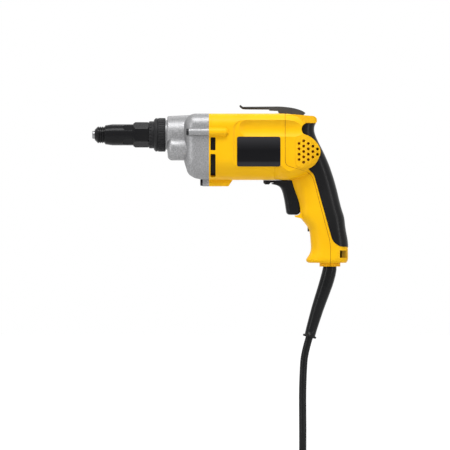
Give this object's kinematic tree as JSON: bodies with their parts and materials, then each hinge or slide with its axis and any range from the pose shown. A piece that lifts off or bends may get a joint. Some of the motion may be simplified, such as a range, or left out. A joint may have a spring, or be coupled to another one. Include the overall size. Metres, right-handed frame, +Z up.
{
  "type": "electric screwdriver",
  "caption": "Corded pistol-grip electric screwdriver: drive motor and gears behind a depth-set nose, with trigger, reversing lever, belt clip and a tied supply cord.",
  "frame": {"origin": "middle of the hand grip, on the tool's middle plane", "axes": "nose along -X, tool's right-hand side along +Y, up along +Z"},
  "size_m": [0.307, 0.1558, 0.4638],
  "materials": {
    "yellow_plastic": "moulded, fine satin texture",
    "black_rubber": "moulded grip rubber, matte",
    "black_plastic": "moulded black plastic, satin",
    "plate": "bare dark name plate",
    "cast_grey": "blasted die-casting",
    "steel": "turned steel",
    "bright_steel": "ground and plated steel",
    "dark_steel": "blackened steel",
    "bronze": "sintered bronze",
    "copper": "enamelled copper wire and copper bars",
    "laminations": "stacked electrical steel",
    "moulded_inner": "glass-filled moulding",
    "carbon": "carbon brush",
    "cord_rubber": "cord jacket",
    "tie_fabric": "hook and loop band"
  },
  "bodies": {
    "housing": {"motor_housing": "yellow_plastic", "rear_cover": "yellow_plastic", "rubber_grip": "black_rubber", "name_plate": "plate", "gear_case": "cast_grey", "case_screws": "steel", "bearing_plate": "cast_grey", "spindle_bush": "bronze", "lay_bushes": "bronze", "front_bearing": "bright_steel", "rear_bearing": "bright_steel", "fan_baffle": "moulded_inner", "field_stack": "laminations", "field_coils": "copper", "brush_carrier": "moulded_inner", "brush_holders": "bronze", "carbon_brushes": "carbon", "brush_springs": "steel", "trigger_spring": "steel", "switch_body": "moulded_inner", "belt_clip": "black_plastic", "clip_screw": "steel", "cover_screw": "steel", "cord_boot": "black_rubber", "cord_end": "cord_rubber", "cord_clamp": "moulded_inner", "clamp_screws": "steel", "cord": "cord_rubber", "cord_coil": "cord_rubber", "cord_tie": "tie_fabric", "plug_body": "cord_rubber", "plug_blades": "bronze"},
    "nose": {"nose_tip": "black_plastic", "nose_sleeve": "black_plastic", "hex_collar": "black_plastic", "nose_ring": "steel"},
    "collar": {"detent_ring": "black_plastic", "adjusting_collar": "black_plastic"},
    "spindle_carrier": {"thrust_washer": "steel"},
    "spindle": {"spindle": "steel", "bit_holder": "bright_steel", "bit_magnet": "bright_steel"},
    "clutch": {"clutch_gear": "steel", "clutch_spring": "steel"},
    "lay": {"lay_shaft": "steel", "lay_gear": "steel"},
    "armature": {"armature_shaft": "steel", "armature_core": "laminations", "armature_windings": "copper", "commutator": "copper", "fan": "moulded_inner"},
    "trigger": {"trigger": "black_plastic", "switch_plunger": "moulded_inner"},
    "lever": {"reversing_lever": "black_plastic"}
  },
  "joints": [
    {"name": "armature_spin", "type": "hinge", "parent": "housing", "child": "armature", "pos_m": [-0.138, 0, 0.0694], "axis": [1, 0, 0], "continuous": true},
    {"name": "lay_spin", "type": "hinge", "parent": "housing", "child": "lay", "pos_m": [-0.138, -0.01669, 0.06675], "axis": [1, 0, 0], "continuous": true},
    {"name": "clutch_spin", "type": "hinge", "parent": "housing", "child": "clutch", "pos_m": [-0.138, 0, 0.084], "axis": [1, 0, 0], "continuous": true},
    {"name": "spindle_push", "type": "slide", "parent": "housing", "child": "spindle_carrier", "axis": [1, 0, 0], "range_m": [0, 0.003], "stiffness_N_per_m": 2500, "springref_m": -0.003, "deforming": ["clutch_spring"]},
    {"name": "spindle_spin", "type": "hinge", "parent": "spindle_carrier", "child": "spindle", "pos_m": [-0.138, 0, 0.084], "axis": [1, 0, 0], "continuous": true},
    {"name": "nose_slide", "type": "slide", "parent": "housing", "child": "nose", "axis": [1, 0, 0], "range_m": [-0.0015, 0.0015]},
    {"name": "collar_turn", "type": "hinge", "parent": "nose", "child": "collar", "pos_m": [-0.138, 0, 0.084], "axis": [1, 0, 0], "range_deg": [-180.5, 180.5]},
    {"name": "trigger_pull", "type": "slide", "parent": "housing", "child": "trigger", "axis": [1, 0, 0], "range_m": [0, 0.007], "stiffness_N_per_m": 900, "springref_m": -0.004, "deforming": ["trigger_spring"]},
    {"name": "lever_swing", "type": "hinge", "parent": "housing", "child": "lever", "pos_m": [-0.014, 0, 0.028], "axis": [0, 0, 1], "range_deg": [-7, 7]}
  ],
  "couplings": [
    {"joint": "lay_spin", "follows": "armature_spin", "ratio": -0.2381},
    {"joint": "clutch_spin", "follows": "armature_spin", "ratio": 0.098039},
    {"joint": "spindle_spin", "follows": "armature_spin", "ratio": 0.098039},
    {"joint": "collar_turn", "follows": "nose_slide", "rad_per_m": 2094.4}
  ]
}
